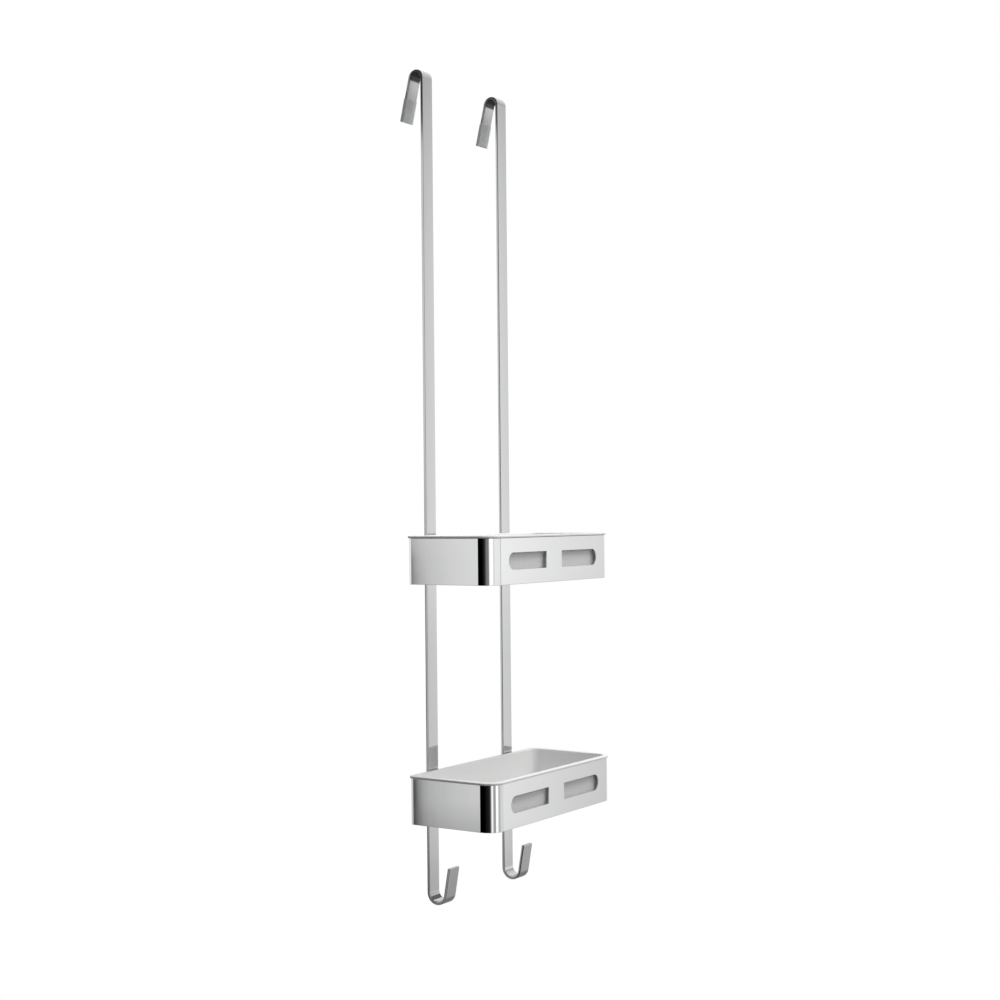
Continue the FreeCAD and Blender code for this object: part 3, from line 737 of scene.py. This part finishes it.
def new_material(name, **settings):
    """A material with a Principled shader, and a graph to add to. Settings are its constant sockets."""
    material = bpy.data.materials.new(name)
    material.use_nodes = True
    tree = material.node_tree
    shader = tree.nodes["Principled BSDF"]
    for key, value in settings.items():
        shader.inputs[key.replace("_", " ")].default_value = value
    return material, Graph(tree), shader


def link(graph, shader, **sockets):
    """Link sockets into a shader's inputs, underscores standing for spaces."""
    for key, socket in sockets.items():
        graph.tree.links.new(socket, shader.inputs[key.replace("_", " ")])


def make_chrome(name, brightness, haziness, dull_legs_and_painted_shade=False):
    """Polished chrome plate with faint wiping marks and a trace of blue; on the hooks, also duller legs
    and painted shade inside the bends.
    """
    material, graph, shader = new_material(name, Metallic=1.0)
    shader.inputs["Base Color"].default_value = (brightness, brightness + 0.003, brightness + 0.007, 1)
    haze = graph.noise(22, detail=5, roughness=0.6)
    wipes = graph.noise(160, detail=2, stretch=(1, 1, 0.12))
    marks = graph.math("MULTIPLY", haze, wipes)
    waviness = graph.noise(14, detail=1)
    grain = graph.noise(1500, detail=2)
    soft = graph.bump(waviness, 0.02 * MM, 0.35)
    fine = graph.bump(grain, 0.002 * MM, 0.15, soft)
    gloss = graph.between(marks, haziness, 0.1 + haziness)
    if dull_legs_and_painted_shade:
        place = graph.add("ShaderNodeTexCoord").outputs["Object"]
        gloss = graph.math("ADD", gloss, leg_dullness(graph, place))
        # Painted shade: the base colour turns dark on the inside of each top hook's bend
        plain = shader.inputs["Base Color"].default_value[:]
        link(graph, shader, Base_Color=graph.mix(bend_painted_shade(graph, place), plain, PAINTED_SHADE_COLOUR))
    link(graph, shader, Roughness=gloss, Normal=fine)
    return material


def leg_dullness(graph, place):
    """Roughness that a top hook's leg gains as it slants backwards, down to its sleeve."""
    depth = graph.add("ShaderNodeSeparateXYZ", {0: place}).outputs["Y"]
    return graph.ramp(depth, 0, DULL_REACH, [
        (0, 0), (DULL_START, 0), (DULL_FULL, DULLNESS), (DULL_END, DULLNESS), (DULL_END + MM, 0),
        (DULL_REACH, 0),
    ])


def bend_painted_shade(graph, place):
    """How much painted shade the plating gets: fully on the inside of a top hook's bend, not at all
    further out.
    """
    flat = graph.add("ShaderNodeVectorMath", {0: place, 1: (0, 1, 1)}, operation="MULTIPLY").outputs[0]
    inputs = {0: flat, 1: (0, 0, -CROWN_RADIUS)}
    reach = graph.add("ShaderNodeVectorMath", inputs, operation="DISTANCE").outputs["Value"]
    return graph.between(reach, 1, 0, CROWN_RADIUS + PAINTED_SHADE_LAYER / 4, CROWN_RADIUS + PAINTED_SHADE_LAYER)


def make_plastic():
    """White injection-moulded plastic: a satin skin with a very fine grain and slight flow marks."""
    material, graph, shader = new_material(
        "white_plastic", IOR=1.49, Specular_IOR_Level=0.45, Subsurface_Weight=0.3,
        Subsurface_Radius=(1, 1, 0.95), Subsurface_Scale=2 * MM
    )
    flow = graph.noise(9, detail=4, roughness=0.55, stretch=(0.35, 1, 1))
    tint = graph.mix(flow, (0.845, 0.85, 0.85, 1), (0.875, 0.875, 0.865, 1))
    grain = graph.noise(2600, detail=2, roughness=0.7)
    sink = graph.noise(30, detail=2)
    soft = graph.bump(sink, 0.03 * MM, 0.4)
    fine = graph.bump(grain, 0.008 * MM, 0.5, soft)
    link(graph, shader, Base_Color=tint, Roughness=graph.between(flow, 0.3, 0.46), Normal=fine)
    return material


def make_sleeve_material():
    """Milky vinyl that lets a little of the chrome beneath show through."""
    material, graph, shader = new_material("clear_sleeve", IOR=1.46, Base_Color=(0.97, 0.98, 0.985, 1))
    cloud = graph.noise(60, detail=4)
    skin = graph.noise(180, detail=2)
    link(graph, shader, Alpha=graph.between(cloud, 0.72, 0.86), Roughness=graph.between(cloud, 0.1, 0.24),
         Normal=graph.bump(skin, 0.01 * MM, 0.3))
    return material


def make_steel():
    """Plain stainless steel of the screws: satin, with turning marks and a little tint."""
    material, graph, shader = new_material("screw_steel", Metallic=1.0)
    stain = graph.noise(260, detail=4)
    tint = graph.mix(stain, (0.56, 0.55, 0.54, 1), (0.72, 0.71, 0.69, 1))
    turned = graph.noise(2400, detail=2, stretch=(1, 0.2, 1))
    link(graph, shader, Base_Color=tint, Roughness=graph.between(stain, 0.18, 0.42),
         Normal=graph.bump(turned, 0.01 * MM, 0.5))
    return material


def make_pad_material():
    """Clear silicone: soft gloss, slightly cloudy."""
    material, graph, shader = new_material("clear_pad", IOR=1.41, Base_Color=(0.95, 0.965, 0.97, 1))
    cloud = graph.noise(300, detail=4)
    link(graph, shader, Alpha=graph.between(cloud, 0.4, 0.6), Roughness=graph.between(cloud, 0.1, 0.34),
         Normal=graph.bump(cloud, 0.04 * MM, 0.3))
    return material


# ---------------------------------------------------------------- studio

def make_world():
    """A white room for the eye, a ring of grey and black cards for the chrome, soft light for the rest.

    Headings run from +X towards +Y and heights upwards, both in degrees.
    """
    world = bpy.data.worlds.new("studio")
    bpy.context.scene.world = world
    world.use_nodes = True
    tree = world.node_tree
    tree.nodes.clear()
    graph = Graph(tree)
    direction = graph.add("ShaderNodeTexCoord").outputs["Generated"]
    split = graph.add("ShaderNodeSeparateXYZ", {0: direction})
    x, y, z = split.outputs
    heading = graph.math("MULTIPLY", graph.math("ARCTAN2", y, x), math.degrees(1))
    height = graph.math("MULTIPLY", graph.math("ARCSINE", z), math.degrees(1))

    # The card to the left and behind: dark, then light from a leaning edge on; dark above and below it
    lean = graph.ramp(height, -13, 5, [(-13, 0), (-9.9, 0.04), (-1.6, 0.1), (5, 0.88)])
    leaning = graph.math("ADD", heading, graph.math("MULTIPLY", lean, 2.5))
    side_card = graph.ramp(leaning, 136, 152, [
        (136, 0.7), (140.5, 0.08), (143.4, 0.05), (143.55, 0.12), (143.65, 0.44), (144.0, 0.58),
        (144.28, 0.62), (144.9, 0.7), (145.5, 0.75), (146.45, 0.79), (152, 0.8),
    ])
    side_level = graph.ramp(height, -90, 90, [
        (-90, 0.1), (-20, 0.1), (-11.5, 0.5), (-9.9, 0.86), (-1.6, 1.0), (13.0, 1.0), (13.4, 0.07),
        (22, 0.07), (40, 0.9), (90, 1.0),
    ])
    side = graph.multiply(side_card, side_level)

    # The cards all around: one row at eye level and above, another row below
    eye_row = graph.ramp(heading, -180, 180, [
        (-180, 0.0), (-163, 0.02), (-157, 0.1), (-147, 0.24), (-139, 0.16), (-135, 0.4), (-128, 1.2),
        (-110, 1.2), (-104, 0.85), (-99, 0.74), (-92, 0.92), (-60, 0.9), (-46, 0.9), (-43, 0.6),
        (-38, 0.5), (-36.3, 0.96), (-33.6, 0.97), (-29.9, 0.76), (-18, 0.76), (0, 0.9), (33, 0.95),
        (52, 0.5), (75, 0.5), (90, 1.0), (120, 0.9), (146.8, 0.9), (147.2, 0.0),
    ])
    low_row = graph.ramp(heading, -180, 180, [
        (-180, 0.0), (-146, 0.02), (-140, 0.1), (-135, 0.4), (-130, 1.4), (-124, 1.4), (-117, 0.5),
        (-104, 0.44), (-100, 1.5), (-88, 1.5), (-82, 0.9), (-75, 0.55), (-66, 0.85), (-50, 0.98),
        (-38, 0.95), (-35.5, 0.95), (-33.6, 1.1), (-29.9, 0.82), (-18, 0.85), (33, 1.0),
        (52, 0.5), (75, 0.5), (90, 0.9), (120, 0.8), (146.8, 0.8), (147.2, 0.0),
    ])
    row = graph.ramp(height, -9, -3, [(-9, 0), (-3, 1)])
    cards = graph.mix(row, low_row, eye_row)
    level = graph.ramp(height, -90, 90, [
        (-90, 0.4), (-45, 0.42), (-32, 0.45), (-23.4, 0.5), (-21.9, 0.6), (-16, 0.62), (-12.4, 0.58),
        (-11, 0.76), (-7.4, 0.8), (-4.6, 0.86), (-2.6, 0.97), (-1.2, 1.0), (1.1, 0.97), (7.5, 0.92),
        (10.6, 0.85), (12.3, 0.79), (13.6, 0.72), (15, 0.62), (20, 0.55), (26, 0.95), (90, 1.0),
    ])
    ring = graph.multiply(cards, level)

    # The right-hand side is darker low down
    sunken = graph.ramp(height, -90, 90, [(-90, 0.5), (-14.3, 0.6), (-11.5, 1), (90, 1)])
    to_the_right = graph.ramp(heading, -24, 66, [(-24, 0), (-14, 1), (60, 1), (66, 0)])
    ring = graph.multiply(ring, graph.mix(to_the_right, WHITE, sunken))
    behind = graph.ramp(heading, 134, 148, [(134, 0), (140, 1), (146.8, 1), (147.2, 0)])
    mirrored = graph.mix(behind, ring, side)

    # Soft light, strongest from above, from the front and from the right
    overhead = graph.ramp(z, -1, 1, [
        (-1, 0.25), (-0.3, 0.28), (0, 0.34), (0.3, 0.62), (0.6, 0.85), (1, 1.0),
    ])
    frontal = graph.ramp(y, -1, 1, [(-1, 1.0), (0, 0.55), (1, 0.5)])
    sideways = graph.ramp(x, -1, 1, [(-1, 0.2), (0, 0.75), (1, 1.0)])
    soft = graph.multiply(graph.multiply(overhead, frontal), sideways)

    # Each kind of ray sees its own surroundings
    path = graph.add("ShaderNodeLightPath")
    chrome_light = graph.add("ShaderNodeBackground", {"Color": mirrored, "Strength": 1.0})
    room_light = graph.add("ShaderNodeBackground", {"Color": soft, "Strength": ROOM_LIGHT})
    backdrop = graph.add("ShaderNodeBackground", {"Color": WHITE, "Strength": 1.0})
    lit = graph.add("ShaderNodeMixShader", {
        0: path.outputs["Is Glossy Ray"],
        1: room_light.outputs[0],
        2: chrome_light.outputs[0],
    })
    seen = graph.add("ShaderNodeMixShader", {
        0: path.outputs["Is Camera Ray"],
        1: lit.outputs[0],
        2: backdrop.outputs[0],
    })
    output = graph.add("ShaderNodeOutputWorld")
    tree.links.new(seen.outputs[0], output.inputs["Surface"])


def make_key_light():
    """One large soft lamp in front, above and to the right."""
    data = bpy.data.lights.new("key_softbox", "AREA")
    data.shape = "RECTANGLE"
    data.size, data.size_y = KEY_SIZE
    data.energy = KEY_POWER
    lamp = bpy.data.objects.new("key_softbox", data)
    target = (CAD_BOX[0] + CAD_BOX[1]) / 2
    lamp.location = target + Vector(KEY_OFFSET)
    lamp.rotation_euler = (target - lamp.location).to_track_quat("-Z", "Y").to_euler()
    lamp.visible_glossy = False
    lamp.visible_camera = False
    bpy.context.scene.collection.objects.link(lamp)


def make_floor():
    """A round pale floor as far below the object as a shower's floor is; its edge fades out.

    Only the camera sees it, so it stays out of the chrome and throws no light back.
    """
    bm = bmesh.new()
    bmesh.ops.create_circle(bm, cap_ends=True, segments=FLOOR_SEGMENTS, radius=FLOOR_RADIUS)
    mesh = bpy.data.meshes.new("studio_floor")
    bm.to_mesh(mesh)
    bm.free()
    material, graph, shader = new_material("pale_floor", Roughness=0.7, Base_Color=(0.82, 0.82, 0.81, 1))
    place = graph.add("ShaderNodeTexCoord").outputs["Object"]
    reach = graph.add("ShaderNodeVectorMath", {0: place}, operation="LENGTH").outputs["Value"]
    solid = graph.ramp(reach, 0, FLOOR_RADIUS, [(0, 1), (FLOOR_SOLID_RADIUS, 1), (FLOOR_RADIUS, 0)])
    link(graph, shader, Alpha=solid)
    mesh.materials.append(material)
    floor = bpy.data.objects.new("studio_floor", mesh)
    floor.location.z = FLOOR_HEIGHT
    floor.visible_glossy = False
    floor.visible_diffuse = False
    bpy.context.scene.collection.objects.link(floor)


def make_camera():
    """Eye a little below the middle, in front and well to the left."""
    data = bpy.data.cameras.new("camera")
    data.sensor_width = CAMERA_SENSOR
    data.lens = CAMERA_LENS
    data.clip_end = CAMERA_FAR
    camera = bpy.data.objects.new("camera", data)
    heading, pitch, roll = map(math.radians, CAMERA_ANGLES)
    flat = math.cos(pitch)
    forward = Vector((math.sin(heading) * flat, math.cos(heading) * flat, math.sin(pitch)))
    level = forward.cross(Vector((0, 0, 1))).normalized()
    right = Matrix.Rotation(-roll, 3, forward) @ level
    up = right.cross(forward)
    matrix = Matrix((right, up, -forward)).transposed().to_4x4()
    matrix.translation = CAMERA_PLACE
    camera.matrix_world = matrix
    bpy.context.scene.collection.objects.link(camera)
    bpy.context.scene.camera = camera


CHROME = make_chrome("sheet_chrome", 0.885, 0.015)
BAR_CHROME = make_chrome("bar_chrome", 0.7, 0.03, dull_legs_and_painted_shade=True)
PLASTIC = make_plastic()
SLEEVE = make_sleeve_material()
STEEL = make_steel()
PAD = make_pad_material()

make_camera()
for side, rail_box in RAIL_BOXES.items():
    make_rail(f"{side}_rail", *rail_box)
    make_sleeve(f"{side}_hook_sleeve", *rail_box)
for basket in BASKETS:
    make_band(f"{basket}_basket_band", *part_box(f"{basket}_basket_band"))
    make_tray(f"{basket}_tray", *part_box(f"{basket}_tray"), basket)
    make_cross_bar(f"{basket}_cross_bar", *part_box(f"{basket}_cross_bar"), basket)
    make_bosses(f"{basket}_bosses", *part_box(f"{basket}_bosses"), basket)
    make_screws(f"{basket}_bar_screws", *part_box(f"{basket}_bar_screws"), HIGH_SCREW, basket)
    make_screws(f"{basket}_rail_screws", *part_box(f"{basket}_rail_screws"), LOW_SCREW, basket)
    make_pads(f"{basket}_glass_pads", *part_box(f"{basket}_glass_pads"))
make_floor()
make_world()
make_key_light()
bpy.context.scene.view_settings.view_transform = "Standard"
